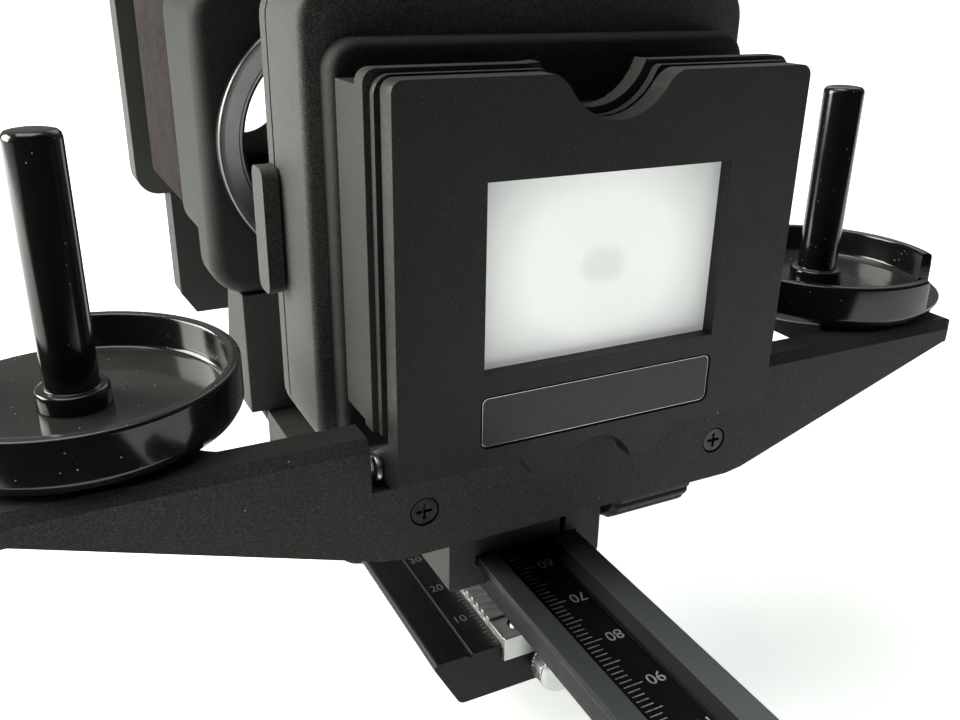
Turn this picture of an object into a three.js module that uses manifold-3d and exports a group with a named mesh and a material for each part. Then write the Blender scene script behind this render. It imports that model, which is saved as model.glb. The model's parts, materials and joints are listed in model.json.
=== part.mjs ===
// Slide copier on a macro bellows unit. Millimetres, +Z up, the slide gate faces -Y.
// Origin: middle of the tripod pad's underside. Every piece is its own closed solid.
// Inside the unit's group, y = 0 is the gate's front face and z = 0 the optical axis.
import * as THREE from 'three';
import { mergeVertices } from 'three/addons/utils/BufferGeometryUtils.js';
import Module from 'manifold-3d';

const wasm = await Module();
wasm.setup();

// ---- driving dimensions ------------------------------------------------------
const OPTIC_Z = 90;           // optical axis above the tripod face
const GATE_FRONT = -85;       // front face of the slide gate, along the rail
const GAP = 0.1;              // between fixed pieces that touch
const RUN = 0.3;              // between pieces that slide past each other

const WINDOW_W = 36;
const WINDOW_H = 24.4;
const GATE_HALF = 29.8;
const GATE_TOP = 24;
const GATE_BOTTOM = -25.3;
const GATE_T = 3.2;
const NAME_HALF = 18.2;
const NAME_TOP = -15.3;
const NAME_BOTTOM = -22.4;
const DIFFUSER_SET_BACK = 2;

const PLATE_FRONT = 3.9;      // sprung pressure plate
const PLATE_T = 1.2;
const PLATE_HALF = 30.3;
const HOLDER_FRONT = 5.7;
const HOLDER_BACK = 15;
const HOLDER_HALF = 30.9;
const STAGE_HALF = 31.6;
const STAGE_TOP = 27.2;
const STAGE_BOTTOM = -28;
const HOUSING_FRONT = 19;
const HOUSING_BACK = 33.4;
const HOUSING_HALF = 33.9;
const HOUSING_TOP = 34.5;
const HOUSING_BOTTOM = -30.6;
const SHADE_T = 2.7;

const BAR_FRONT = 4;          // crossbar that carries the reels
const BAR_T = 5.6;
const BAR_TOP = -20.2;
const BAR_BOTTOM = -38.9;
const BAR_BEND = 27.8;
const BAR_TIP = 74.8;
const BAR_TIP_BOTTOM = -23.6;
const HINGE_Y = 6.4;
const HINGE_Z = -25.4;
const PIN_R = 1;
const HINGE_BORE_R = 1.05;
const SCREW_X = 24.5;
const SCREW_Z = -32.3;

const REEL_X = 64.1;
const REEL_Y = 25.6;
const BOSS_R = 12.3;
const BOSS_UNDER = -24.5;
const TRAY_R = 21.2;
const TRAY_WALL = 1.7;
const TRAY_TOP = -12.4;
const TRAY_FLOOR = -17.6;
const TRAY_UNDER = -19.7;
const SPINDLE_R = 3.4;
const SPINDLE_TOP = 17.2;
const COLLAR_R = 4.6;
const COLLAR_TOP = -15;

const RAIL_HALF = 9.4;        // main rail with the scale in its channel
const RAIL_NECK = 7;
const RAIL_TOP = -52.6;
const RAIL_LIP = -53.8;
const RAIL_WAIST = -56.2;
const RAIL_FLOOR = -55.3;
const RAIL_UNDER = -61;
const RAIL_FRONT = -62;
const RAIL_BACK = 226;
const SCALE_HALF = 3.75;

const BASE_TOP = -72;         // focusing rail under the carriage
const BASE_EDGE = -73.2;
const BASE_UNDER = -82;
const BASE_HALF = 16.7;
const BASE_UNDER_HALF = 11.9;
const BASE_FRONT = 18.3;
const BASE_BACK = 151.7;
const RACK_TOP = -70.2;
const RACK_HALF = 4.1;
const RACK_FRONT = 23.3;
const RACK_SEAT = BASE_TOP - 0.85;
const RACK_PITCH = 2;
const PINION_TEETH = 12;
const PINION_Y = 85;
const PINION_Z = -66.4;
const CARRIAGE_FRONT = 70;
const CARRIAGE_BACK = 104;
const CARRIAGE_HALF = 21;

const FOOT_HALF = 14.2;       // foot of the copier
const FOOT_FRONT = 18.2;
const FOOT_BACK = 44;
const FOOT_UNDER = -58.2;
const CLAMP_Y = 22;
const CLAMP_Z = -46.3;

const LENS_FRONT = 101;
const LENS_DEPTH = 33;
const LENS_HALF = 31;
const LENS_BOTTOM = -32;
const LENS_TOP = 32;
const CAMERA_FRONT = 185;
const CAMERA_DEPTH = 11;
const CAMERA_HALF = 33.8;
const CAMERA_BOTTOM = -26.5;
const CAMERA_TOP = 34;
const STANDARD_FOOT_HALF = 25;
const LENS_FOOT_UNDER = -60.6;
const CAMERA_FOOT_UNDER = -63.4;
const LOCK_Z = -52.6;
const PORT_R = 21.5;
const REAR_STOP_R = 12.8;     // opening in the camera ring's end plate
const BELLOWS_HALF_X = 29.3;
const BELLOWS_HALF_Z = 25.5;
const BELLOWS_Z = 4.5;

// ---- finishes ------------------------------------------------------------------
const CASTING = { color: 0x26282a, roughness: 0.8, metalness: 0.1 };
const PLASTIC = { color: 0x1f2121, roughness: 0.55, metalness: 0 };
const GLOSS = { color: 0x0d0e0f, roughness: 0.15, metalness: 0 };
const ANODISED = { color: 0x15171a, roughness: 0.45, metalness: 0.4 };
const NICKEL = { color: 0xb9bbbb, roughness: 0.3, metalness: 0.9 };
const BLACKENED = { color: 0x1b1c1d, roughness: 0.4, metalness: 0.6 };
const OPAL = { color: 0xeef0f1, roughness: 0.5, metalness: 0 };
const PLATE_GREY = { color: 0x3a3b3d, roughness: 0.4, metalness: 0.2 };
const CLOTH = { color: 0x2b2321, roughness: 0.95, metalness: 0 };

// ---- scene graph -----------------------------------------------------------------
function group(parent, name, x, y, z) {
  const g = new THREE.Group();
  g.name = name;
  g.position.set(x, y, z);
  parent?.add(g);
  return g;
}

// Adds a finished solid to a group as one named mesh with its own material.
function add(parent, name, solid, finish, x = 0, y = 0, z = 0) {
  const { vertProperties, triVerts } = solid.getMesh();
  const g = new THREE.BufferGeometry();
  g.setAttribute('position', new THREE.BufferAttribute(vertProperties, 3));
  g.setIndex(new THREE.BufferAttribute(triVerts, 1));
  g.computeVertexNormals();
  const mesh = new THREE.Mesh(g, new THREE.MeshStandardMaterial(finish));
  mesh.name = name;
  mesh.position.set(x, y, z);
  parent.add(mesh);
  return mesh;
}

// ---- solid helpers -----------------------------------------------------------------
function toManifold(geometry) {
  const bare = geometry.index ? geometry.toNonIndexed() : geometry.clone();
  bare.deleteAttribute('normal');
  bare.deleteAttribute('uv');
  const merged = mergeVertices(bare, 1e-4);
  return new wasm.Manifold(new wasm.Mesh({
    numProp: 3,
    vertProperties: new Float32Array(merged.attributes.position.array),
    triVerts: new Uint32Array(merged.index.array),
  }));
}

function join(...solids) {
  return solids.reduce((a, b) => a.add(b));
}

function cut(solid, ...tools) {
  return tools.reduce((a, b) => a.subtract(b), solid);
}

function box(x0, x1, y0, y1, z0, z1) {
  const g = new THREE.BoxGeometry(x1 - x0, y1 - y0, z1 - z0);
  g.translate((x0 + x1) / 2, (y0 + y1) / 2, (z0 + z1) / 2);
  return toManifold(g);
}

function extrude(shape, depth, curveSegments = 6) {
  return new THREE.ExtrudeGeometry(shape, { depth, bevelEnabled: false, curveSegments });
}

// Shape drawn in X-Z, pushed from y0 to y1.
function slabY(shape, y0, y1, steps) {
  const g = extrude(shape, y1 - y0, steps);
  g.rotateX(Math.PI / 2);
  g.translate(0, y1, 0);
  return toManifold(g);
}

// Shape drawn in X-Y, pushed from z0 to z1.
function slabZ(shape, z0, z1, steps) {
  const g = extrude(shape, z1 - z0, steps);
  g.translate(0, 0, z0);
  return toManifold(g);
}

// Shape drawn in Y-Z, pushed from xa to xb, given in either order.
function slabX(shape, xa, xb, steps) {
  const g = extrude(shape, Math.abs(xb - xa), steps);
  g.rotateX(Math.PI / 2);
  g.rotateZ(Math.PI / 2);
  g.translate(Math.min(xa, xb), 0, 0);
  return toManifold(g);
}

function poly(points) {
  return new THREE.Shape(points.map(([a, b]) => new THREE.Vector2(a, b)));
}

function roundRect(a0, a1, b0, b1, r) {
  const s = new THREE.Shape();
  s.absarc(a1 - r, b0 + r, r, -Math.PI / 2, 0, false);
  s.absarc(a1 - r, b1 - r, r, 0, Math.PI / 2, false);
  s.absarc(a0 + r, b1 - r, r, Math.PI / 2, Math.PI, false);
  s.absarc(a0 + r, b0 + r, r, Math.PI, Math.PI * 1.5, false);
  s.closePath();
  return s;
}

function lathe(points, segments) {
  return new THREE.LatheGeometry(points.map(([r, h]) => new THREE.Vector2(r, h)), segments);
}

// Turned pieces: the profile's heights run along +Z, +Y or +X.
function turnZ(points, segments = 32) {
  const g = lathe(points, segments);
  g.rotateX(Math.PI / 2);
  return toManifold(g);
}

function turnY(points, segments = 32) {
  return toManifold(lathe(points, segments));
}

function turnX(points, segments = 32) {
  const g = lathe(points, segments);
  g.rotateZ(-Math.PI / 2);
  return toManifold(g);
}

function cylY(r, x, z, y0, y1, segments = 24) {
  const g = new THREE.CylinderGeometry(r, r, y1 - y0, segments);
  g.translate(x, (y0 + y1) / 2, z);
  return toManifold(g);
}

function cylX(r, y, z, xa, xb, segments = 24) {
  const g = new THREE.CylinderGeometry(r, r, Math.abs(xb - xa), segments);
  g.rotateZ(Math.PI / 2);
  g.translate((xa + xb) / 2, y, z);
  return toManifold(g);
}

function cylZ(r, x, y, z0, z1, segments = 24) {
  const g = new THREE.CylinderGeometry(r, r, z1 - z0, segments);
  g.rotateX(Math.PI / 2);
  g.translate(x, y, (z0 + z1) / 2);
  return toManifold(g);
}

function windowCut(y0, y1) {
  return box(-WINDOW_W / 2, WINDOW_W / 2, y0, y1, -WINDOW_H / 2, WINDOW_H / 2);
}

// Pleated square tube with a zigzag section that closes on itself, along +Y from y = 0.
function pleats(halfX, halfZ, depth, count, length, wall) {
  const outline = [];
  for (let i = 0; i <= count * 2; i += 1) {
    outline.push([i % 2 ? 1 : 1 - depth, (length * i) / (count * 2)]);
  }
  const inner = outline.map(([r, h]) => [r - wall, h]).reverse();
  const g = lathe([...outline, ...inner, outline[0]], 4);
  g.rotateY(Math.PI / 4);
  g.scale(halfX * Math.SQRT2, 1, halfZ * Math.SQRT2);
  return toManifold(g);
}

// Knob on the X axis with a fluted rim, from x = 0, and a stem that reaches to x = stem.
function knob(length, r, flutes, stem, stemR) {
  const outline = [];
  for (let i = 0; i < flutes * 2; i += 1) {
    const a = (i * Math.PI) / flutes;
    const q = i % 2 ? r : r - 0.35;
    outline.push([q * Math.cos(a), q * Math.sin(a)]);
  }
  const round = turnX([[0, 0], [r - 1.2, 0], [r + 0.3, 1.3], [r + 0.3, length - 1.3],
    [r - 1.2, length], [0, length]], 36);
  const head = slabX(poly(outline), 0, length, 1).intersect(round);
  return stem === undefined ? head : head.add(cylX(stemR, 0, 0, stem, length / 2, 20));
}

// Countersunk cross-head screw along +Y, its head's face at y = 0.
function crossHead(r, headT, shankR, length) {
  const slot = 0.22;
  const arm = r * 0.6;
  return cut(
    join(cylY(r, 0, 0, 0, headT, 28), cylY(shankR, 0, 0, headT - 0.1, length, 16)),
    box(-arm, arm, -1, 0.6, -slot, slot),
    box(-slot, slot, -1, 0.6, -arm, arm),
  );
}

// Room for the main rail under a saddle: over the rail's top and round its lips.
function saddleCut(y0, y1) {
  const side = RAIL_HALF + 0.15;
  const neck = RAIL_NECK + RUN;
  const shape = poly([[-side, RAIL_TOP + 0.15], [-side, RAIL_LIP - 0.2], [-neck, RAIL_WAIST - 0.2],
    [-neck, RAIL_UNDER - 9], [neck, RAIL_UNDER - 9], [neck, RAIL_WAIST - 0.2], [side, RAIL_LIP - 0.2],
    [side, RAIL_TOP + 0.15]]);
  return slabY(shape, y0, y1);
}

// ---- slide gate ---------------------------------------------------------------------
function gateOutline() {
  const s = new THREE.Shape();
  const corner = 1.5;
  s.moveTo(-GATE_HALF, GATE_BOTTOM);
  s.lineTo(-12, GATE_BOTTOM);
  s.lineTo(-9.7, GATE_BOTTOM - 3.5);
  s.lineTo(-6.6, GATE_BOTTOM - 3.5);
  s.absarc(-0.5, GATE_BOTTOM - 5.4, 6.4, Math.PI * 0.9, Math.PI * 0.1, true);
  s.lineTo(8.6, GATE_BOTTOM - 3.3);
  s.lineTo(12.4, GATE_BOTTOM);
  s.lineTo(GATE_HALF, GATE_BOTTOM);
  s.absarc(GATE_HALF - corner, GATE_TOP - corner, corner, 0, Math.PI / 2, false);
  s.lineTo(9, GATE_TOP);
  s.quadraticCurveTo(7.4, GATE_TOP - 0.4, 6.4, GATE_TOP - 2.2);
  s.absarc(-0.3, GATE_TOP + 2.6, 8.2, -Math.PI * 0.2, -Math.PI * 0.8, true);
  s.quadraticCurveTo(-8, GATE_TOP - 0.4, -9.6, GATE_TOP);
  s.absarc(-GATE_HALF + corner, GATE_TOP - corner, corner, Math.PI / 2, Math.PI, false);
  s.closePath();
  return s;
}

// Hinge ear behind each lower corner of the gate, bored for its pin.
function gateEar(side) {
  const profile = poly([[0, -20.6], [GATE_T, -20.6], [HINGE_Y + 2.3, HINGE_Z + 1.2],
    [HINGE_Y + 1.6, HINGE_Z - 1.3], [HINGE_Y, HINGE_Z - 1.9], [3, HINGE_Z - 1.4], [0, GATE_BOTTOM]]);
  const ear = slabX(profile, side * (GATE_HALF - 2), side * GATE_HALF);
  return ear.subtract(cylX(HINGE_BORE_R, HINGE_Y, HINGE_Z, side * 25, side * 34));
}

function buildGate(parent) {
  const recess = roundRect(-NAME_HALF - 0.2, NAME_HALF + 0.2, NAME_BOTTOM - 0.2, NAME_TOP + 0.2, 1.2);
  const gate = cut(
    slabY(gateOutline(), 0, GATE_T, 8),
    windowCut(-1, GATE_T + 1),
    box(-20.3, 20.3, DIFFUSER_SET_BACK, GATE_T + 1, -14.3, 14.3),
    slabY(recess, -1, 0.7, 3),
  );
  add(parent, 'gate_plate', join(gate, gateEar(-1), gateEar(1)), PLASTIC);
  add(parent, 'diffuser', box(-20, 20, DIFFUSER_SET_BACK + 0.05, GATE_T - 0.15, -14, 14), OPAL);
  const name = roundRect(-NAME_HALF, NAME_HALF, NAME_BOTTOM, NAME_TOP, 1);
  add(parent, 'nameplate', slabY(name, 0.15, 0.65, 3), PLATE_GREY);
}

// Sprung plate between the gate and the holder, hung on the gate's own pins.
function buildPressurePlate(parent) {
  const bottom = BAR_TOP + 0.5;
  const back = PLATE_FRONT + PLATE_T;
  const corner = 2.2;
  const top = 24.2;
  const s = new THREE.Shape();
  s.moveTo(-PLATE_HALF, bottom);
  s.lineTo(PLATE_HALF, bottom);
  s.absarc(PLATE_HALF - corner, top - corner, corner, 0, Math.PI / 2, false);
  s.lineTo(8.3, top);
  s.absarc(-0.3, 27, 8.6, -Math.PI * 0.12, -Math.PI * 0.88, true);
  s.lineTo(-8.9, top);
  s.absarc(-PLATE_HALF + corner, top - corner, corner, Math.PI / 2, Math.PI, false);
  s.closePath();
  let plate = slabY(s, PLATE_FRONT, back).subtract(windowCut(0, 9));
  const flange = poly([[PLATE_FRONT, bottom + 3], [back, bottom + 3], [back, bottom - 0.8],
    [HINGE_Y + 1.9, HINGE_Z + 1.6], [HINGE_Y + 1.2, HINGE_Z - 1.8], [HINGE_Y - 1.2, HINGE_Z - 1.8],
    [PLATE_FRONT + 0.3, HINGE_Z + 1.2]]);
  for (const side of [-1, 1]) {
    plate = plate.add(slabX(flange, side * 26.6, side * 27.5));
    plate = plate.subtract(cylX(HINGE_BORE_R, HINGE_Y, HINGE_Z, side * 25.6, side * 28.5));
  }
  add(parent, 'pressure_plate', plate, PLASTIC);
}

// Headed hinge pins, one each side, pressed into the crossbar's lugs.
function buildPins(parent) {
  for (const [side, name] of [[-1, 'gate_pin_left'], [1, 'gate_pin_right']]) {
    const shoulder = side * (GATE_HALF + 0.3);
    const pin = join(
      cylX(PIN_R, HINGE_Y, HINGE_Z, side * 23, shoulder),
      cylX(1.8, HINGE_Y, HINGE_Z, shoulder, side * (GATE_HALF + 1.2), 20),
    );
    add(parent, name, pin, NICKEL);
  }
}

// ---- holder, stage and housing -----------------------------------------------------------
function buildHolder(parent) {
  const bottom = BAR_TOP + 0.4;
  const top = 24.7;
  const corner = 1.7;
  const s = new THREE.Shape();
  s.moveTo(-HOLDER_HALF, bottom);
  s.lineTo(HOLDER_HALF, bottom);
  s.absarc(HOLDER_HALF - corner, top - corner, corner, 0, Math.PI / 2, false);
  s.lineTo(7.4, top);
  s.absarc(-0.6, 27.4, 8.2, -Math.PI * 0.1, -Math.PI * 0.9, true);
  s.lineTo(-10.2, top);
  s.absarc(-HOLDER_HALF + corner, top - corner, corner, Math.PI / 2, Math.PI, false);
  s.closePath();
  const body = roundRect(-HOLDER_HALF, HOLDER_HALF, bottom, 18.6, 1);
  const holder = cut(
    join(
      slabY(s, HOLDER_FRONT, HOLDER_FRONT + 2.6),
      slabY(body, HOLDER_FRONT + 2.4, HOLDER_BACK, 3),
      box(-HOLDER_HALF, -HOLDER_HALF + 3, HOLDER_FRONT + 1, HOLDER_BACK, 10, 22.8),
      box(HOLDER_HALF - 3, HOLDER_HALF, HOLDER_FRONT + 1, HOLDER_BACK, 10, 22.8),
    ),
    windowCut(0, 30),
    box(-27, 27, HOLDER_FRONT + 2.6, 30, -16.5, 17),
  );
  add(parent, 'holder_body', holder, CASTING);
}

// A rounded frame with a stepped front edge.
function steppedFrame(half, z0, z1, r, front, back, steps) {
  const step = 0.8;
  return join(
    slabY(roundRect(-half, half, z0, z1, r), front + 1, back, steps),
    slabY(roundRect(-half + step, half - step, z0 + step, z1 - step, r - 0.6), front, front + 1.1, steps),
  );
}

function buildHousing(parent) {
  const lightPath = slabY(roundRect(-24, 24, -16.5, 16.5, 2), 0, 60, 3);
  const front = HOLDER_BACK + GAP;
  const stage = steppedFrame(STAGE_HALF, STAGE_BOTTOM, STAGE_TOP, 4, front, HOUSING_FRONT - GAP, 6);
  add(parent, 'stage_frame', stage.subtract(lightPath), CASTING);
  const shell = steppedFrame(HOUSING_HALF, HOUSING_BOTTOM, HOUSING_TOP, 6, HOUSING_FRONT, HOUSING_BACK, 5);
  const inside = roundRect(-31.4, 31.4, -28.2, 32, 4);
  add(parent, 'housing_shell', cut(shell, lightPath, slabY(inside, HOUSING_FRONT + 2.6, 60, 5)), CASTING);
}

// Rear frame that draws back towards the lens, with a finger tab on each side.
function buildShade(parent) {
  const front = HOUSING_BACK + RUN;
  const back = front + SHADE_T;
  const outside = roundRect(-HOUSING_HALF, HOUSING_HALF, HOUSING_BOTTOM, HOUSING_TOP, 6);
  let shade = cut(
    slabY(outside, front, back, 5),
    slabY(roundRect(-26, 26, -24, 26, 3), 0, 60, 4),
  );
  const tab = roundRect(front - 2.9, back, -8.6, 9.4, 1.6);
  const root = roundRect(front, back, -8.6, 9.4, 1);
  for (const side of [-1, 1]) {
    shade = join(
      shade,
      slabX(tab, side * (HOUSING_HALF + 0.3), side * (HOUSING_HALF + 2.6), 3),
      slabX(root, side * (HOUSING_HALF - 0.6), side * (HOUSING_HALF + 0.4), 2),
    );
  }
  add(parent, 'shade_frame', shade, CASTING);
  add(parent, 'shade_bellows', pleats(30.3, 27, 0.12, 5, 10.6, 0.035), CLOTH, 0, HOUSING_FRONT + 2.8, 0);
}

// ---- crossbar with tapered arms and reel bosses ----------------------------------------------
function reelBoss(side) {
  const x = side * REEL_X;
  const shape = new THREE.Shape();
  shape.moveTo(x - BOSS_R, BAR_FRONT + 1);
  shape.lineTo(x + BOSS_R, BAR_FRONT + 1);
  shape.absarc(x, REEL_Y, BOSS_R, 0, Math.PI, false);
  shape.closePath();
  const inner = side * (REEL_X - BOSS_R);
  const rear = BAR_FRONT + BAR_T;
  const fillet = new THREE.Shape();
  fillet.moveTo(inner + side, rear - 0.5);
  fillet.lineTo(inner + side, rear + 3.4);
  fillet.quadraticCurveTo(inner - side * 0.4, rear, inner - side * 4, rear - 0.5);
  fillet.closePath();
  return join(slabZ(shape, BOSS_UNDER, BAR_TOP, 9), slabZ(fillet, BOSS_UNDER, BAR_TOP));
}

function buildCrossbar(parent) {
  const rear = BAR_FRONT + BAR_T;
  const face = poly([
    [-BAR_TIP, BAR_TIP_BOTTOM], [-BAR_BEND - 3, BAR_BOTTOM + 0.5], [-BAR_BEND, BAR_BOTTOM],
    [BAR_BEND, BAR_BOTTOM], [BAR_BEND + 3, BAR_BOTTOM + 0.5], [BAR_TIP, BAR_TIP_BOTTOM],
    [BAR_TIP, BAR_TOP], [-BAR_TIP, BAR_TOP],
  ]);
  const plan = roundRect(-REEL_X - BOSS_R, REEL_X + BOSS_R, BAR_FRONT, 60, 2.4);
  const tipLine = roundRect(-REEL_X - BOSS_R, REEL_X + BOSS_R, BAR_BOTTOM - 9, BAR_TOP, 1.2);
  let bar = join(
    slabY(face, BAR_FRONT, rear, 1),
    reelBoss(-1),
    reelBoss(1),
    box(-22.4, 22.4, rear - 0.5, HOLDER_BACK - 0.2, BAR_BOTTOM, BAR_TOP - 0.3),
  );
  bar = bar.intersect(slabZ(plan, BAR_BOTTOM - 1, BAR_TOP + 1, 5));
  bar = bar.intersect(slabY(tipLine, 0, 60, 4));
  const easedEdge = poly([[BAR_FRONT - 0.1, BAR_TOP - 1.5], [BAR_FRONT + 1.5, BAR_TOP + 0.1],
    [BAR_FRONT - 0.1, BAR_TOP + 0.1]]);
  bar = bar.subtract(slabX(easedEdge, -90, 90));
  for (const side of [-1, 1]) {
    const slot = [side * 26.2, side * 31.9].sort((a, b) => a - b);
    bar = cut(
      bar,
      cylZ(2.3, side * REEL_X, REEL_Y, BOSS_UNDER - 1, BAR_TOP + 1),
      box(slot[0], slot[1], 0, 12, HINGE_Z - 2.2, 0),
      cylY(2.15, side * SCREW_X, SCREW_Z, 0, BAR_FRONT + 1.4),
      cylY(1.25, side * SCREW_X, SCREW_Z, 0, BAR_FRONT + 5, 20),
      cylX(PIN_R + 0.03, HINGE_Y, HINGE_Z, side * 22.5, side * 27),
    );
  }
  add(parent, 'crossbar', bar, CASTING);
  for (const [side, name] of [[-1, 'crossbar_screw_left'], [1, 'crossbar_screw_right']]) {
    add(parent, name, crossHead(1.9, 1.1, 1.1, 4.2), BLACKENED, side * SCREW_X, BAR_FRONT + 0.15, SCREW_Z);
  }
}

// ---- reels: a tray with a gap in its rim, a spindle with a collar, and a washer under it -----
function buildReel(parent, side, word, gapFrom, gapTo) {
  const reel = group(parent, `reel_${word}`, side * REEL_X, REEL_Y, 0);
  const rim = TRAY_TOP - TRAY_UNDER;
  const floor = TRAY_FLOOR - TRAY_UNDER;
  const inside = TRAY_R - TRAY_WALL;
  const tray = turnZ([[2.4, 0], [TRAY_R - 1.2, 0], [TRAY_R, 1.2], [TRAY_R, rim - 0.4],
    [TRAY_R - 0.4, rim], [inside + 0.4, rim], [inside, rim - 0.4], [inside, floor], [2.4, floor],
    [2.4, 0]], 40);
  const gap = new THREE.Shape();
  gap.moveTo(0, 0);
  for (const share of [0, 0.5, 1]) {
    const a = THREE.MathUtils.degToRad(gapFrom + (gapTo - gapFrom) * share);
    gap.lineTo(TRAY_R * 2 * Math.cos(a), TRAY_R * 2 * Math.sin(a));
  }
  gap.closePath();
  add(reel, `tray_${word}`, tray.subtract(slabZ(gap, floor, rim + 3)), GLOSS, 0, 0, TRAY_UNDER);

  const base = BOSS_UNDER - GAP;
  const seat = TRAY_FLOOR + 0.02 - base;
  const collar = COLLAR_TOP - base;
  const top = SPINDLE_TOP - base;
  const spindle = turnZ([[0, 0], [2.22, 0], [2.22, seat], [COLLAR_R, seat], [COLLAR_R, collar - 0.4],
    [COLLAR_R - 0.4, collar], [SPINDLE_R, collar], [SPINDLE_R, top - 1], [SPINDLE_R - 0.35, top - 0.3],
    [SPINDLE_R - 1, top], [0, top]], 24);
  add(reel, `spindle_${word}`, spindle, GLOSS, 0, 0, base);

  const washer = cut(
    turnZ([[0, 0], [3.2, 0], [4.2, 0.8], [4.2, 1.6], [0, 1.6]], 24),
    box(-3, 3, -0.4, 0.4, -1, 0.7),
  );
  add(reel, `spindle_washer_${word}`, washer, BLACKENED, 0, 0, base - 1.75);
}

// ---- foot of the copier: a split saddle over the main rail, with a clamp knob ----------------
function buildCopierFoot(parent) {
  const block = roundRect(-FOOT_HALF, FOOT_HALF, FOOT_UNDER, HOUSING_BOTTOM - GAP, 0.8);
  const foot = cut(
    join(
      slabY(block, FOOT_FRONT, FOOT_BACK, 2),
      box(-20, 20, HOLDER_BACK - GAP, HOUSING_BACK, BAR_BOTTOM, HOUSING_BOTTOM - GAP),
    ),
    saddleCut(0, 60),
    box(6.2, 7.3, 10, 60, RAIL_TOP, -42.5),
    cylX(2.1, CLAMP_Y, CLAMP_Z, 0.8, 20),
  );
  add(parent, 'copier_foot', foot, CASTING);
  const inner = FOOT_HALF + 1;
  add(parent, 'copier_clamp_knob', knob(16.5, 6.6, 20, 1 - inner, 2.02), PLASTIC, inner, CLAMP_Y, CLAMP_Z);
}

// ---- main rail ----------------------------------------------------------------------------------
function railSide(top) {
  return [[RAIL_HALF, top], [RAIL_HALF, RAIL_LIP], [RAIL_NECK, RAIL_WAIST], [RAIL_NECK, RAIL_UNDER],
    [-RAIL_NECK, RAIL_UNDER], [-RAIL_NECK, RAIL_WAIST], [-RAIL_HALF, RAIL_LIP], [-RAIL_HALF, top]];
}

function buildMainRail(parent) {
  const section = poly([...railSide(RAIL_TOP), [-5.3, RAIL_TOP - 0.7], [-4.3, RAIL_FLOOR],
    [4.3, RAIL_FLOOR], [5.3, RAIL_TOP - 0.7]]);
  const end = 3;
  const rail = slabY(section, RAIL_FRONT, RAIL_BACK).subtract(
    box(-3.9, 3.9, RAIL_FRONT + end, RAIL_BACK - end, RAIL_FLOOR - 0.55, RAIL_FLOOR + 1),
  );
  add(parent, 'main_rail', rail, ANODISED);
  const strip = box(-SCALE_HALF, SCALE_HALF, RAIL_FRONT + end + 0.2, RAIL_BACK - end - 0.2,
    RAIL_FLOOR - 0.5, RAIL_FLOOR - 0.02);
  add(parent, 'rail_scale_strip', strip, BLACKENED);
  const cap = slabY(poly(railSide(RAIL_TOP - 0.4)), 0, 2);
  add(parent, 'rail_end_cap_front', cap, BLACKENED, 0, RAIL_FRONT - GAP - 2, 0);
  add(parent, 'rail_end_cap_rear', cap, BLACKENED, 0, RAIL_BACK + GAP, 0);
}

// ---- focusing carriage, fixed under the main rail, with its pinion and knob -----------------------
function buildCarriage(parent) {
  const side = BASE_HALF + 0.2;
  const channel = poly([[-side, BASE_TOP + 0.15], [-side, BASE_EDGE],
    [-BASE_UNDER_HALF - 0.2, BASE_UNDER], [BASE_UNDER_HALF + 0.2, BASE_UNDER], [side, BASE_EDGE],
    [side, BASE_TOP + 0.15]]);
  const carriage = cut(
    box(-CARRIAGE_HALF, CARRIAGE_HALF, CARRIAGE_FRONT, CARRIAGE_BACK, BASE_UNDER + 1.4, RAIL_UNDER - GAP),
    slabY(channel, 0, 200),
    box(-6.5, 6.5, 0, 200, BASE_TOP - 1, -69.4),
    cylX(2.6, PINION_Y, PINION_Z, -40, 40),
    cylX(5.7, PINION_Y, PINION_Z, -7, 7),
  );
  add(parent, 'focus_carriage', carriage, CASTING);
  const screw = cylX(2, 0, 0, 0, 0.95, 20).subtract(box(-1, 0.5, -1.5, 1.5, -0.3, 0.3));
  for (const [y, name] of [[72.6, 'carriage_screw_front'], [101.4, 'carriage_screw_rear']]) {
    add(parent, name, screw, BLACKENED, -CARRIAGE_HALF - 1, y, -70.6);
  }
}

function pinionOutline() {
  const pitchR = (PINION_TEETH * RACK_PITCH) / (2 * Math.PI);
  const tip = pitchR + 0.35;
  const root = pitchR - 0.75;
  const points = [];
  for (let i = 0; i < PINION_TEETH; i += 1) {
    for (const [r, share] of [[root, -0.26], [tip, -0.1], [tip, 0.1], [root, 0.26]]) {
      const a = -Math.PI / 2 + ((i + share) * Math.PI * 2) / PINION_TEETH;
      points.push([r * Math.cos(a), r * Math.sin(a)]);
    }
  }
  return poly(points);
}

// The shaft runs in the carriage, its knob on the right and a flat cover over its left end.
function buildPinion(parent) {
  const shaftEnd = 27;
  const left = CARRIAGE_HALF - 0.4;
  const shaft = slabX(pinionOutline(), -3.5, 3.5, 1).add(cylX(2.5, 0, 0, -left, shaftEnd));
  const pinion = group(parent, 'pinion', 0, PINION_Y, PINION_Z);
  add(pinion, 'pinion_shaft', shaft, NICKEL);
  const inner = CARRIAGE_HALF + 0.6;
  const bore = cylX(2.52, 0, 0, -2, shaftEnd + 0.05 - inner);
  add(pinion, 'focus_knob', knob(12.4, 10.5, 28).subtract(bore), PLASTIC, inner, 0, 0);
  const cover = turnX([[0, 0], [4, 0], [4.6, 0.5], [4.6, 1], [0, 1]], 28);
  add(pinion, 'pinion_cover', cover, BLACKENED, -CARRIAGE_HALF - GAP - 1, 0, 0);
}

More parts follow.
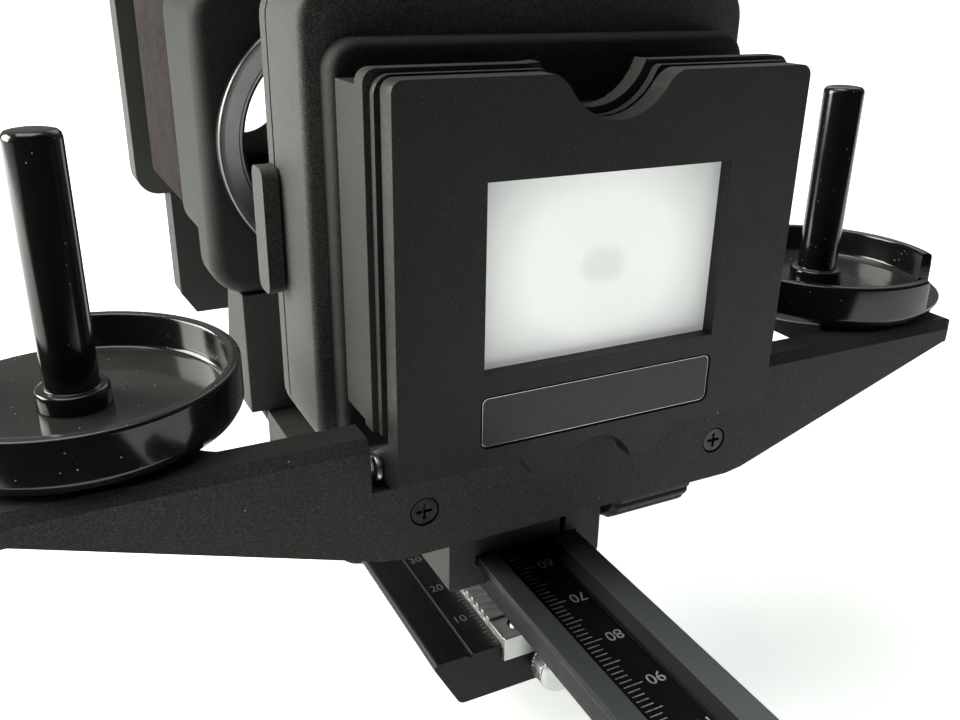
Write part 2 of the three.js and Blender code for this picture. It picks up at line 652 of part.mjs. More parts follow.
// ---- focusing rail with its rack, tripod pad and stop knob --------------------------------------
function buildFocusRail(parent) {
  const grooveX = -10.1;
  const section = poly([
    [-BASE_HALF, BASE_TOP], [-BASE_HALF, BASE_EDGE], [-BASE_UNDER_HALF, BASE_UNDER],
    [BASE_UNDER_HALF, BASE_UNDER], [BASE_HALF, BASE_EDGE], [BASE_HALF, BASE_TOP],
    [grooveX + 0.4, BASE_TOP], [grooveX + 0.2, BASE_TOP - 0.5], [grooveX - 0.2, BASE_TOP - 0.5],
    [grooveX - 0.4, BASE_TOP],
  ]);
  const stopX = 5.4;
  const stopZ = -76.9;
  const base = cut(
    slabY(section, BASE_FRONT, BASE_BACK),
    box(-RACK_HALF - 0.2, RACK_HALF + 0.2, 17, BASE_BACK - 4, BASE_TOP - 0.9, BASE_TOP + 1),
    cylY(1.6, stopX, stopZ, 15, 26, 20),
  );
  add(parent, 'focus_rail', base, ANODISED);

  const rackBack = BASE_BACK - 4.3;
  let rack = box(-RACK_HALF, RACK_HALF, RACK_FRONT, rackBack, RACK_SEAT, RACK_TOP);
  const notch = slabX(poly([[-0.62, 0.1], [-0.3, -1.1], [0.3, -1.1], [0.62, 0.1]]), -5, 5);
  const before = Math.floor((PINION_Y - RACK_FRONT - 1) / RACK_PITCH);
  for (let y = PINION_Y - before * RACK_PITCH; y < rackBack - 1; y += RACK_PITCH) {
    rack = rack.subtract(notch.translate([0, y, RACK_TOP]));
  }
  add(parent, 'rack', rack, NICKEL);
  const block = box(-RACK_HALF, RACK_HALF, -0.9, 0, -74.9, RACK_TOP - 0.2);
  add(parent, 'rack_end_block', block, NICKEL, 0, BASE_FRONT - GAP, 0);
  const screwY = 20.7;
  const plate = cut(
    box(-RACK_HALF, RACK_HALF, BASE_FRONT + GAP, RACK_FRONT - GAP, RACK_SEAT, RACK_TOP - 0.4),
    cylZ(1.7, 0, screwY, BASE_TOP - 0.2, 0),
  );
  add(parent, 'rack_end_plate', plate, NICKEL);
  const screw = cut(
    turnZ([[0, 0], [1.65, 0], [1.65, 0.8], [1.1, 1.5], [0, 1.7]], 24),
    box(-1, 1, -0.2, 0.2, 0.9, 3),
    box(-0.2, 0.2, -1, 1, 0.9, 3),
  );
  add(parent, 'rack_end_screw', screw, NICKEL, 0, screwY, BASE_TOP - 0.15);

  // Two tripod sockets in the pad, the small one in front and the large one behind.
  const pad = cut(
    slabZ(roundRect(-12.4, 12.4, 75.6, 109, 4), -OPTIC_Z, BASE_UNDER - GAP, 4),
    cylZ(3.1, 0, 79.4, -OPTIC_Z - 1, -83.8),
    cylZ(4.6, 0, 98, -OPTIC_Z - 1, -83.8),
  );
  add(parent, 'tripod_pad', pad, CASTING);

  const stop = turnY([[0, 0], [3.9, 0], [4.6, 0.7], [4.6, 3.9], [3.9, 4.6], [2.1, 4.6], [2.1, 5.1],
    [1.5, 5.1], [1.5, 12.4], [0, 12.4]]);
  add(parent, 'rail_stop_knob', stop, NICKEL, stopX, 12.5, stopZ);
}

// ---- standards ---------------------------------------------------------------------------------
// A standard's foot: saddled on the main rail and bored on the right for its lock knob.
function addFoot(parent, word, block, lockY) {
  const bore = cylX(2.1, lockY, LOCK_Z, 10.2, STANDARD_FOOT_HALF + 1);
  add(parent, `${word}_standard_foot`, cut(block, saddleCut(-60, 60), bore), CASTING);
  const inner = STANDARD_FOOT_HALF + 0.9;
  add(parent, `${word}_lock_knob`, knob(11, 6.6, 20, 10.4 - inner, 2.02), PLASTIC, inner, lockY, LOCK_Z);
}

function buildLensStandard(unit) {
  const parent = group(unit, 'lens_end', 0, LENS_FRONT, 0);
  const rearHalf = LENS_HALF - 0.8;
  const standard = cut(
    join(
      steppedFrame(LENS_HALF, LENS_BOTTOM, LENS_TOP, 6, 0, 12, 5),
      slabY(roundRect(-rearHalf, rearHalf, -24, 31, 5), 11, LENS_DEPTH),
    ),
    cylY(PORT_R + 2.05, 0, 0, -11, 13, 40),
    slabY(roundRect(-22, 22, -18, 19, 3), 10, LENS_DEPTH + 5, 4),
    cylX(1.7, 7, 0, 20, 40, 16),
  );
  add(parent, 'lens_standard', standard, CASTING);
  const seat = PORT_R + 1.9;
  const ring = turnY([[PORT_R, 4.6], [22.4, 4.6], [22.6, 2.4], [23.4, 2.2], [23.6, 0.9], [25.6, 0.6],
    [26.2, 0], [27.3, 0], [28, 0.8], [28, 2.6], [seat, 2.6], [seat, 9], [PORT_R, 9], [PORT_R, 4.6]], 40);
  add(parent, 'lens_mount_ring', ring, NICKEL, 0, -2.7, 0);
  const button = join(
    cylX(1.6, 7, 0, 25, LENS_HALF + 2.4, 16),
    cylX(2.9, 7, 0, LENS_HALF + 1.2, LENS_HALF + 2.4, 20),
  );
  add(parent, 'lens_release_button', button, NICKEL);
  const side = poly([[1.2, LENS_BOTTOM - GAP], [1.2, LENS_FOOT_UNDER], [24, LENS_FOOT_UNDER],
    [15, LENS_BOTTOM - GAP]]);
  addFoot(parent, 'lens', slabX(side, -STANDARD_FOOT_HALF, STANDARD_FOOT_HALF), 12);
}

function buildCameraStandard(unit) {
  const parent = group(unit, 'camera_end', 0, CAMERA_FRONT, 0);
  const outside = roundRect(-CAMERA_HALF, CAMERA_HALF, CAMERA_BOTTOM, CAMERA_TOP, 6);
  const standard = slabY(outside, 0, CAMERA_DEPTH, 7).subtract(cylY(PORT_R + 2.05, 0, 0, -35, 45, 32));
  add(parent, 'camera_standard', standard, CASTING);
  const seat = PORT_R + 1.9;
  const ring = turnY([[20, 0], [seat, 0], [seat, 8.2], [27, 8.2], [27, 10.6], [26.4, 11.2],
    [REAR_STOP_R, 11.2], [REAR_STOP_R, 10], [20, 10], [20, 0]]);
  add(parent, 'camera_mount_ring', ring, NICKEL, 0, CAMERA_DEPTH - 8.1, 0);
  const face = poly([[-STANDARD_FOOT_HALF, CAMERA_BOTTOM - GAP], [-STANDARD_FOOT_HALF, -57],
    [4 - STANDARD_FOOT_HALF, CAMERA_FOOT_UNDER], [STANDARD_FOOT_HALF - 4, CAMERA_FOOT_UNDER],
    [STANDARD_FOOT_HALF, -57], [STANDARD_FOOT_HALF, CAMERA_BOTTOM - GAP]]);
  addFoot(parent, 'camera', slabY(face, 0, CAMERA_DEPTH), CAMERA_DEPTH / 2);
}

function buildMainBellows(unit) {
  const from = LENS_FRONT + LENS_DEPTH + RUN;
  const length = CAMERA_FRONT - RUN - from;
  add(unit, 'main_bellows', pleats(BELLOWS_HALF_X, BELLOWS_HALF_Z, 0.14, 9, length, 0.04), CLOTH,
    0, from, BELLOWS_Z);
}

// ---- the whole object ----------------------------------------------------------------------------
const scene = group(null, 'slide_copier_on_bellows', 0, 0, 0);
const unit = group(scene, 'unit', 0, GATE_FRONT, OPTIC_Z);
const copier = group(unit, 'copier', 0, 0, 0);
buildGate(copier);
buildPressurePlate(copier);
buildPins(copier);
buildHolder(copier);
buildHousing(copier);
buildShade(copier);
buildCrossbar(copier);
buildReel(copier, -1, 'left', 88, 141);
buildReel(copier, 1, 'right', -78, -25);
buildCopierFoot(copier);
const rail = group(unit, 'rail', 0, 0, 0);
buildMainRail(rail);
buildCarriage(rail);
buildPinion(rail);
buildFocusRail(unit);
buildLensStandard(unit);
buildCameraStandard(unit);
buildMainBellows(unit);

export default scene;
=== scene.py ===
# Looks of the slide copier on its bellows unit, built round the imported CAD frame. Metres.
import bmesh
import bpy
import json
import math
from mathutils import Matrix, Vector


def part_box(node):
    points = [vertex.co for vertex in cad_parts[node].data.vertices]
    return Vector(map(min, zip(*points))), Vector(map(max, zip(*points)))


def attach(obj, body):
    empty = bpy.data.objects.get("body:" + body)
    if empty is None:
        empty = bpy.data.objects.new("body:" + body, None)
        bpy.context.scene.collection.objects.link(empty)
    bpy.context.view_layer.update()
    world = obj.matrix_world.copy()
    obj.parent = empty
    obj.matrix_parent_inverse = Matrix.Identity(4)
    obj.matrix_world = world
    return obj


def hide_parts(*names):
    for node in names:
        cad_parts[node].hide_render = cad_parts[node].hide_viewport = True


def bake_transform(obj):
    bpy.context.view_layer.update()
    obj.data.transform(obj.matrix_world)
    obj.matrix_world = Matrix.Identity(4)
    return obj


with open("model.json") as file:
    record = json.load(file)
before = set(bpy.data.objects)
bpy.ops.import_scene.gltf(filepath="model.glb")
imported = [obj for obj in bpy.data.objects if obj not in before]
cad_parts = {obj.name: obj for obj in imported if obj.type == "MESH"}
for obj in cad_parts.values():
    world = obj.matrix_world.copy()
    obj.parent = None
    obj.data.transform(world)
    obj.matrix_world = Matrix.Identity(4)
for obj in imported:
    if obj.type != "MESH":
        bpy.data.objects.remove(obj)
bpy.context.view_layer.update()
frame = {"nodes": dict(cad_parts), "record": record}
NODES = frame["nodes"]
MM = 0.001


# ---- where things are, from the frame ---------------------------------------------------------
def lo(node):
    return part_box(node)[0]


def hi(node):
    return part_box(node)[1]


def middle(node):
    return (lo(node) + hi(node)) / 2


AXIS_Z = middle("diffuser").z            # height of the optical axis
GATE_Y = lo("gate_plate").y              # front face of the slide gate
WINDOW = Vector((0, GATE_Y, AXIS_Z))     # middle of the gate's window
BODY_OF = {n: b for b, ns in frame["record"]["behaviour"]["bodies"].items() for n in ns}
SLOT_OF = {s["node"]: s.get("material_slot") for s in frame["record"]["subparts"]}


def behind_gate(y):
    """How far a Y place (m) is behind the gate's front face, in mm."""
    return (y - GATE_Y) / MM


# ---- camera: close to the gate, from its left and a little above ------------------------------
CAMERA_ANGLES = (-27.151, 22.554, 0.966)     # azimuth, elevation and roll in degrees
CAMERA_PLACE = (-68.10, -96.41, 35.21)       # mm from the middle of the window
SENSOR_WIDTH = 36                            # mm
FOCAL_LENGTH = 35.52                         # mm


def make_camera():
    azimuth, elevation, roll = (math.radians(a) for a in CAMERA_ANGLES)
    place = Vector(CAMERA_PLACE) * MM + WINDOW
    back = Vector((math.sin(azimuth) * math.cos(elevation),
                   -math.cos(azimuth) * math.cos(elevation), math.sin(elevation)))
    right = (-back).cross(Vector((0, 0, 1))).normalized()
    up = right.cross(-back)
    x = math.cos(roll) * right + math.sin(roll) * up
    y = -math.sin(roll) * right + math.cos(roll) * up
    data = bpy.data.cameras.new("camera")
    data.sensor_width = SENSOR_WIDTH
    data.lens = FOCAL_LENGTH
    data.clip_start = 0.005
    data.clip_end = 20
    camera = bpy.data.objects.new("camera", data)
    bpy.context.scene.collection.objects.link(camera)
    camera.matrix_world = Matrix((
        (x.x, y.x, back.x, place.x), (x.y, y.y, back.y, place.y),
        (x.z, y.z, back.z, place.z), (0, 0, 0, 1)))
    bpy.context.scene.camera = camera


# ---- node helpers --------------------------------------------------------------------------------
class Surface:
    """A Principled material with short calls for its texture nodes, which use metres."""

    FRAY_SCALE = 260     # noise scale of the frayed outline of a centred patch

    def __init__(self, name, **sockets):
        self.material = bpy.data.materials.new(name)
        self.material.use_nodes = True
        self.tree = self.material.node_tree
        self.shader = self.tree.nodes["Principled BSDF"]
        for socket, value in sockets.items():
            self.shader.inputs[socket.replace("_", " ")].default_value = value
        coordinates = self.node("ShaderNodeTexCoord")
        self.place = coordinates.outputs["Object"]
        self.normal = coordinates.outputs["Normal"]

    def node(self, kind, **settings):
        made = self.tree.nodes.new(kind)
        for key, value in settings.items():
            setattr(made, key, value)
        return made

    def link(self, source, target):
        self.tree.links.new(source, target)

    def stretched(self, scale):
        mapping = self.node("ShaderNodeMapping")
        mapping.inputs["Scale"].default_value = scale
        self.link(self.place, mapping.inputs["Vector"])
        return mapping.outputs["Vector"]

    def centred(self, centre, reach, wobble=0.0):
        """The place seen from a centre, one unit at the reach; wobble (m) frays its outline."""
        place = self.place
        if wobble:
            fray = self.node("ShaderNodeTexNoise")
            fray.inputs["Scale"].default_value = self.FRAY_SCALE
            self.link(self.place, fray.inputs["Vector"])
            shift = self.node("ShaderNodeVectorMath", operation="SCALE")
            shift.inputs["Scale"].default_value = wobble
            self.link(fray.outputs["Color"], shift.inputs[0])
            moved = self.node("ShaderNodeVectorMath", operation="ADD")
            self.link(self.place, moved.inputs[0])
            self.link(shift.outputs["Vector"], moved.inputs[1])
            place = moved.outputs["Vector"]
        mapping = self.node("ShaderNodeMapping")
        mapping.inputs["Location"].default_value = [-c / r for c, r in zip(centre, reach)]
        mapping.inputs["Scale"].default_value = [1 / r for r in reach]
        self.link(place, mapping.inputs["Vector"])
        return mapping.outputs["Vector"]

    def noise(self, scale, detail=3.0, rough=0.55, vector=None):
        made = self.node("ShaderNodeTexNoise")
        made.inputs["Scale"].default_value = scale
        made.inputs["Detail"].default_value = detail
        made.inputs["Roughness"].default_value = rough
        self.link(vector or self.place, made.inputs["Vector"])
        return made.outputs["Fac"]

    def cells(self, scale):
        made = self.node("ShaderNodeTexVoronoi")
        made.inputs["Scale"].default_value = scale
        self.link(self.place, made.inputs["Vector"])
        return made.outputs["Distance"]

    def dust(self, scale, near, far, patches, detail=1, rare=0.60):
        """Specks at the middle of cells, from near to far wide, in the few patches above rare."""
        specks = self.ramp(self.cells(scale), (near, 1.0), (far, 0.0))
        where = self.ramp(self.noise(patches, detail, 0.5), (rare, 0.0), (rare + 0.08, 1.0))
        return self.math("MULTIPLY", specks, where)

    def ball(self, vector):
        """One at the vector's origin, falling to nothing at one unit from it."""
        made = self.node("ShaderNodeTexGradient", gradient_type="SPHERICAL")
        self.link(vector, made.inputs["Vector"])
        return made.outputs["Fac"]

    def ramp(self, source, *stops):
        made = self.node("ShaderNodeValToRGB")
        stops = [(p, c if isinstance(c, tuple) else (c, c, c)) for p, c in stops]
        elements = made.color_ramp.elements
        while len(elements) < len(stops):
            elements.new(0.5)
        for element, (position, colour) in zip(elements, stops):
            element.position = position
            element.color = (*colour, 1)
        self.link(source, made.inputs["Fac"])
        return made.outputs["Color"]

    def mix(self, factor, a, b, blend="MIX"):
        made = self.node("ShaderNodeMix", data_type="RGBA", blend_type=blend)
        for socket, value in (("Factor", factor), ("A", a), ("B", b)):
            target = [s for s in made.inputs if s.name == socket and s.enabled][0]
            if isinstance(value, bpy.types.NodeSocket):
                self.link(value, target)
            else:
                target.default_value = (*value, 1) if isinstance(value, tuple) else value
        return [s for s in made.outputs if s.name == "Result" and s.enabled][0]

    def math(self, operation, a, b=0.0):
        made = self.node("ShaderNodeMath", operation=operation)
        for target, value in zip(made.inputs, (a, b)):
            if isinstance(value, bpy.types.NodeSocket):
                self.link(value, target)
            else:
                target.default_value = value
        return made.outputs["Value"]

    def colour(self, source):
        self.link(source, self.shader.inputs["Base Color"])

    def roughness(self, source):
        self.link(source, self.shader.inputs["Roughness"])

    def bump(self, *layers):
        """Each layer is (height, strength, distance in metres); they are stacked in order."""
        normal = None
        for height, strength, distance in layers:
            made = self.node("ShaderNodeBump")
            made.inputs["Strength"].default_value = strength
            made.inputs["Distance"].default_value = distance
            self.link(height, made.inputs["Height"])
            if normal:
                self.link(normal, made.inputs["Normal"])
            normal = made.outputs["Normal"]
        self.link(normal, self.shader.inputs["Normal"])


# ---- materials -------------------------------------------------------------------------------------
def crinkle_casting(name="crinkle_casting", tone=1.0):
    """Die-cast metal in a fine crinkle paint with tiny bright grains; tone darkens it, which the darker
    copies use as painted shade.
    """
    s = Surface(name, Specular_IOR_Level=0.2 + 0.12 * tone)

    def shade(*colour):
        return tuple(tone * c for c in colour)

    grain = s.noise(5600, 3, 0.75)
    patches = s.noise(70, 4, 0.6)
    base = s.ramp(patches, (0.3, shade(0.026, 0.029, 0.025)), (0.7, shade(0.035, 0.038, 0.033)))
    light_grain = s.ramp(grain, (0.50, 0.0), (0.66, 1.0))
    grains = s.mix(light_grain, base, shade(0.100, 0.106, 0.092))
    pits = s.ramp(grain, (0.34, 1.0), (0.47, 0.0))
    pitted = s.mix(pits, grains, shade(0.007, 0.0075, 0.007))
    s.colour(s.mix(s.dust(420, 0.03, 0.06, 150), pitted, (0.30, 0.31, 0.29)))
    s.roughness(s.ramp(grain, (0.3, 0.48), (0.7, 0.66)))
    s.bump((grain, 0.8, 0.00014), (s.noise(1500, 3, 0.6), 0.3, 0.00014))
    return s.material


def satin_plastic():
    """Moulded black plastic with a fine even texture, a little dust on it."""
    s = Surface("satin_plastic", Specular_IOR_Level=0.3)
    grain = s.noise(3000, 3, 0.7)
    patches = s.noise(45, 3, 0.6)
    base = s.ramp(patches, (0.3, (0.009, 0.011, 0.009)), (0.7, (0.014, 0.016, 0.014)))
    light_grain = s.ramp(grain, (0.56, 0.0), (0.76, 1.0))
    grains = s.mix(light_grain, base, (0.052, 0.057, 0.050))
    s.colour(s.mix(s.dust(300, 0.022, 0.045, 110), grains, (0.38, 0.39, 0.37)))
    s.roughness(s.ramp(s.noise(900, 3, 0.6), (0.3, 0.46), (0.7, 0.58)))
    s.bump((grain, 0.35, 0.00008))
    return s.material


def gloss_plastic():
    """Polished black plastic of the trays and spindles: dust that settles on top, faint swirls."""
    s = Surface("gloss_plastic", Specular_IOR_Level=0.5)
    flecks = s.dust(900, 0.06, 0.12, 330, detail=2, rare=0.50)
    upright = s.node("ShaderNodeSeparateXYZ")
    s.link(s.normal, upright.inputs["Vector"])
    settled = s.ramp(upright.outputs["Z"], (0.55, 0.0), (1.0, 1.0))
    haze = s.math("MULTIPLY", settled, s.ramp(s.noise(60, 4, 0.65), (0.25, 0.45), (0.75, 1.0)))
    base = s.mix(haze, (0.006, 0.0065, 0.006), (0.040, 0.043, 0.039))
    s.colour(s.mix(flecks, base, (0.26, 0.27, 0.25)))
    bloom = s.ramp(s.noise(70, 4, 0.6), (0.35, 0.10), (0.75, 0.20))
    s.roughness(s.mix(flecks, bloom, (0.6, 0.6, 0.6)))
    scratches = s.noise(900, 2, 0.5, s.stretched((1, 0.06, 1)))
    s.bump((scratches, 0.06, 0.00002), (flecks, 0.25, 0.00004))
    return s.material


def anodised(name="anodised", lift=0.0):
    """Black anodised extrusion, drawn along its length; lift makes it a lighter grey, used as a painted
    sheen on the main rail's upward faces.
    """
    s = Surface(name, Specular_IOR_Level=0.16)
    drawn = s.noise(2600, 3, 0.6, s.stretched((1, 0.015, 1)))
    low, high = ((c, c * 1.08, c * 1.12) for c in (lift + 0.004, lift + 0.009))
    s.colour(s.ramp(drawn, (0.3, low), (0.75, high)))
    s.roughness(s.ramp(s.noise(400, 4, 0.6), (0.3, 0.34), (0.7, 0.46)))
    s.bump((drawn, 0.10, 0.00003), (s.noise(4200, 2, 0.6), 0.10, 0.00003))
    return s.material


def nickel(name, low, high, tone=1.0):
    """Nickel plating with a fine grain and faint tarnish, its roughness from low to high;
    tone darkens it."""
    s = Surface(name, Metallic=1.0)
    plating = ((0.56, 0.57, 0.57), (0.66, 0.665, 0.65))
    dull, clean = (tuple(tone * c for c in colour) for colour in plating)
    s.colour(s.ramp(s.noise(120, 4, 0.6), (0.3, dull), (0.75, clean)))
    s.roughness(s.ramp(s.noise(700, 4, 0.6), (0.3, low), (0.7, high)))
    s.bump((s.noise(2400, 2, 0.6), 0.06, 0.00002))
    return s.material


def blackened_steel():
    """Chemically blackened steel, rubbed brighter in patches."""
    s = Surface("blackened_steel", Metallic=0.8)
    rubbed = s.noise(420, 4, 0.6)
    s.colour(s.ramp(rubbed, (0.4, (0.030, 0.031, 0.031)), (0.72, (0.085, 0.086, 0.082))))
    s.roughness(s.ramp(rubbed, (0.3, 0.32), (0.7, 0.48)))
    s.bump((s.noise(2600, 3, 0.6), 0.15, 0.00003))
    return s.material


def opal():
    """Opal diffuser: white, with painted shade greyer at the edges and one faint blurred painted shadow;
    it glows with its own colour, painted light in place of the light from behind.
    """
    s = Surface("opal", Roughness=0.42, Specular_IOR_Level=0.3, Emission_Strength=0.40)
    face = WINDOW + Vector((0, 0.002, 0))
    cloud = s.ramp(s.noise(55, 2, 0.5), (0.3, (0.86, 0.885, 0.86)), (0.65, (0.92, 0.935, 0.92)))
    # painted shade: the colour falls to grey towards the window's edges
    glow = s.ball(s.centred(face, (0.034, 0.034, 0.027)))
    lit = s.mix(s.ramp(glow, (0.28, 0.0), (0.66, 1.0)), (0.44, 0.455, 0.445), cloud)
    # painted shadow: a faint blurred grey patch near the middle of the window
    shadow_spot = s.ball(s.centred(face + Vector((0.0015, 0, 0.0008)), (0.0052, 0.0052, 0.0032), 0.0026))
    painted_shadow = s.ramp(shadow_spot, (0.08, 0.0), (0.45, 0.26))
    seen = s.mix(painted_shadow, lit, (0.45, 0.46, 0.45))
    s.colour(seen)
    # the colour is also emitted: a painted glow that stands in for the light from behind
    s.link(seen, s.shader.inputs["Emission Color"])
    s.bump((s.noise(900, 2, 0.5), 0.04, 0.00003))
    return s.material


def plate_grey():
    """Dark satin enamel of the blank nameplate."""
    s = Surface("plate_grey", Metallic=0.3)
    s.colour(s.ramp(s.noise(300, 3, 0.6), (0.3, (0.012, 0.013, 0.013)), (0.7, (0.018, 0.019, 0.019))))
    s.roughness(s.ramp(s.noise(800, 3, 0.6), (0.3, 0.30), (0.7, 0.40)))
    s.bump((s.noise(3000, 2, 0.6), 0.08, 0.00002))
    return s.material


def bellows_cloth():
    """Brown-black rubberised cloth, woven, rubbed paler in patches."""
    s = Surface("bellows_cloth", Sheen_Weight=0.25, Sheen_Roughness=0.5, Specular_IOR_Level=0.35)
    weave_a = s.node("ShaderNodeTexWave", wave_type="BANDS", bands_direction="X")
    weave_b = s.node("ShaderNodeTexWave", wave_type="BANDS", bands_direction="Z")
    for weave in (weave_a, weave_b):
        weave.inputs["Scale"].default_value = 550
        weave.inputs["Distortion"].default_value = 0.6
        s.link(s.place, weave.inputs["Vector"])
    threads = s.math("MULTIPLY", weave_a.outputs["Fac"], weave_b.outputs["Fac"])
    rubbed = s.noise(90, 5, 0.6)
    s.colour(s.ramp(rubbed, (0.3, (0.022, 0.014, 0.012)), (0.75, (0.040, 0.029, 0.026))))
    s.roughness(s.ramp(s.noise(500, 3, 0.6), (0.3, 0.62), (0.7, 0.85)))
    s.bump((threads, 0.35, 0.00008), (s.noise(260, 4, 0.6), 0.25, 0.00015))
    return s.material


def channel_black():
    """Flat black inside the main rail's channel."""
    s = Surface("channel_black", Roughness=0.62, Specular_IOR_Level=0.15)
    s.colour(s.ramp(s.noise(240, 3, 0.6), (0.3, (0.0025, 0.0028, 0.003)), (0.7, (0.005, 0.0053, 0.0055))))
    s.bump((s.noise(3800, 2, 0.6), 0.1, 0.00003))
    return s.material


def ink(name, tone):
    """Grey-white filling of the engraved scales, darker where tone is low."""
    s = Surface(name, Roughness=0.6)
    thin, full = ((tone * c, tone * g, tone * c) for c, g in ((0.20, 0.21), (0.50, 0.52)))
    s.colour(s.ramp(s.noise(1800, 3, 0.6), (0.30, thin), (0.62, full)))
    s.bump((s.noise(5000, 2, 0.6), 0.2, 0.00002))
    return s.material


def paper_white():
    """Plain pale floor with the faintest tooth, self-lit so that it stays white far off."""
    s = Surface("floor", Roughness=0.9, Specular_IOR_Level=0.1, Emission_Strength=1.0)
    nearness = s.ball(s.centred((0, 0, 0), (1.3, 1.3, 1.3)))
    glow = s.ramp(nearness, (0.0, (1.0, 1.0, 1.0)), (0.7, (0.60, 0.62, 0.595)))
    s.link(glow, s.shader.inputs["Emission Color"])
    s.colour(s.ramp(s.noise(30, 3, 0.5), (0.3, (0.80, 0.805, 0.80)), (0.7, (0.82, 0.825, 0.82))))
    return s.material


MATERIALS = {
    "casting": crinkle_casting(),
    "satin_plastic": satin_plastic(),
    "gloss_plastic": gloss_plastic(),
    "anodised": anodised(),
    "nickel": nickel("nickel", 0.28, 0.42),
    "black_screw": blackened_steel(),
    "opal": opal(),
    "plate_grey": plate_grey(),
    "cloth": bellows_cloth(),
}

# finishes of pieces that differ from their slot's own; the darker casting copies are painted shade and
# the lighter rail grey is a painted sheen
SHADED_CASTING = crinkle_casting("shaded_crinkle_casting", 0.6)
DEEPER_SHADED_CASTING = crinkle_casting("deeper_shaded_crinkle_casting", 0.28)
RACK_STEEL = nickel("rack_steel", 0.42, 0.55, 0.95)
CHANNEL_BLACK = channel_black()
# painted sheen: a lighter grey for the main rail's upward faces
SHEEN_GREY = anodised("painted_sheen_grey", 0.085)
INK = ink("scale_ink", 1.0)
DIM_INK = ink("dim_scale_ink", 0.22)
BRIGHT_EDGE = nickel("bright_edge", 0.12, 0.22)
RING_SATIN = nickel("ring_satin", 0.30, 0.36, 0.28)
# these castings get the darker copy of the casting paint: painted shade
SHADED_NODES = ("holder_body", "crossbar", "copier_foot", "focus_carriage",
              "tripod_pad", "camera_standard_foot", "lens_standard_foot")


# ---- mesh helpers ------------------------------------------------------------------------------------
WELD = 2e-6              # vertices closer than this (m) become one
FLAT_DEGREES = 0.6       # faces within this angle are one flat face
CORNER_DEGREES = 34      # edges sharper than this are rounded


def link_piece(name, mesh, body, material, replaces=(), smooth_angle=35):
    """A finished mesh becomes a piece that rides on a body and stands for its CAD nodes.
    Edges sharper than smooth_angle (degrees) stay crisp."""
    for face in mesh.polygons:
        face.use_smooth = True
    mesh.set_sharp_from_angle(angle=math.radians(smooth_angle))
    mesh.materials.clear()
    mesh.materials.append(material)
    piece = bpy.data.objects.new(name, mesh)
    bpy.context.scene.collection.objects.link(piece)
    if body:
        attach(piece, body)
    if replaces:
        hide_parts(*replaces)
    return piece


def stand_for(node, name, mesh, smooth_angle=35):
    """A new piece in place of one CAD node, with that node's body and material slot."""
    slot = SLOT_OF[node]
    return link_piece(name, mesh, BODY_OF[node], MATERIALS[slot], [node], smooth_angle)


def mesh_from(name, verts, faces):
    mesh = bpy.data.meshes.new(name)
    mesh.from_pydata([tuple(v) for v in verts], [], faces)
    bm = bmesh.new()
    bm.from_mesh(mesh)
    bmesh.ops.recalc_face_normals(bm, faces=bm.faces)
    bm.to_mesh(mesh)
    bm.free()
    return mesh


def rings_mesh(name, rings):
    """Quads between rings of equal length, the last ring joined to the first."""
    count, total = len(rings[0]), len(rings)
    verts = [p for ring in rings for p in ring]
    faces = []
    for i in range(total):
        a, b = i * count, ((i + 1) % total) * count
        for j in range(count):
            k = (j + 1) % count
            faces.append((a + j, a + k, b + k, b + j))
    return mesh_from(name, verts, faces)


def eased(profile, radius, steps=3, closed=True):
    """The profile with each corner rounded; a point may carry its own radius as a third value.
    Corners that are almost straight stay as they are."""
    almost_straight = 3.0
    made = []
    count = len(profile)
    for i, point in enumerate(profile):
        here = Vector(point[:2])
        if not closed and i in (0, count - 1):
            made.append(here)
            continue
        before, after = Vector(profile[i - 1][:2]), Vector(profile[(i + 1) % count][:2])
        a, b = before - here, after - here
        r = point[2] if len(point) > 2 else radius
        if r <= 0 or a.length < 1e-9 or b.length < 1e-9 or a.angle(b) > almost_straight:
            made.append(here)
            continue
        reach = min(r / math.tan(a.angle(b) / 2), a.length * 0.45, b.length * 0.45)
        start, end = here + a.normalized() * reach, here + b.normalized() * reach
        for k in range(steps + 1):
            t = k / steps
            made.append((1 - t) ** 2 * start + 2 * t * (1 - t) * here + t * t * end)
    return made


AXES = {
    "x": lambda r, h, c, s: (h, r * c, r * s),
    "y": lambda r, h, c, s: (r * c, h, r * s),
    "z": lambda r, h, c, s: (r * c, r * s, h),
}


def turned(name, profile, centre, axis, segments, ease):
    """A lathe ring in metres: its closed profile is (radius, height) in mm, off the axis."""
    place = AXES[axis]
    rings = []
    for r, h in eased(profile, ease):
        angles = [2 * math.pi * j / segments for j in range(segments)]
        rings.append([centre + MM * Vector(place(r, h, math.cos(a), math.sin(a))) for a in angles])
    return rings_mesh(name, rings)


def solid_turned(name, profile, centre, axis, segments, ease, wobble=None):
    """As turned, for a profile that starts and ends on the axis: its ends stay closed.
    wobble(angle, radius, height) may change a radius, for flutes and knurls."""
    place = AXES[axis]
    verts, faces, rows = [], [], []
    for r, h in eased(profile, ease, closed=False):
        on_axis = r < 1e-6
        row = []
        for j in range(1 if on_axis else segments):
            a = 2 * math.pi * j / segments
            q = wobble(a, r, h) if wobble and not on_axis else r
            row.append(len(verts))
            verts.append(centre + MM * Vector(place(q, h, math.cos(a), math.sin(a))))
        rows.append(row)
    for upper, lower in zip(rows, rows[1:]):
        for j in range(segments):
            k = (j + 1) % segments
            if len(upper) == 1 and len(lower) > 1:
                faces.append((upper[0], lower[k], lower[j]))
            elif len(lower) == 1 and len(upper) > 1:
                faces.append((upper[j], upper[k], lower[0]))
            elif len(upper) > 1:
                faces.append((upper[j], upper[k], lower[k], lower[j]))
    return mesh_from(name, verts, faces)


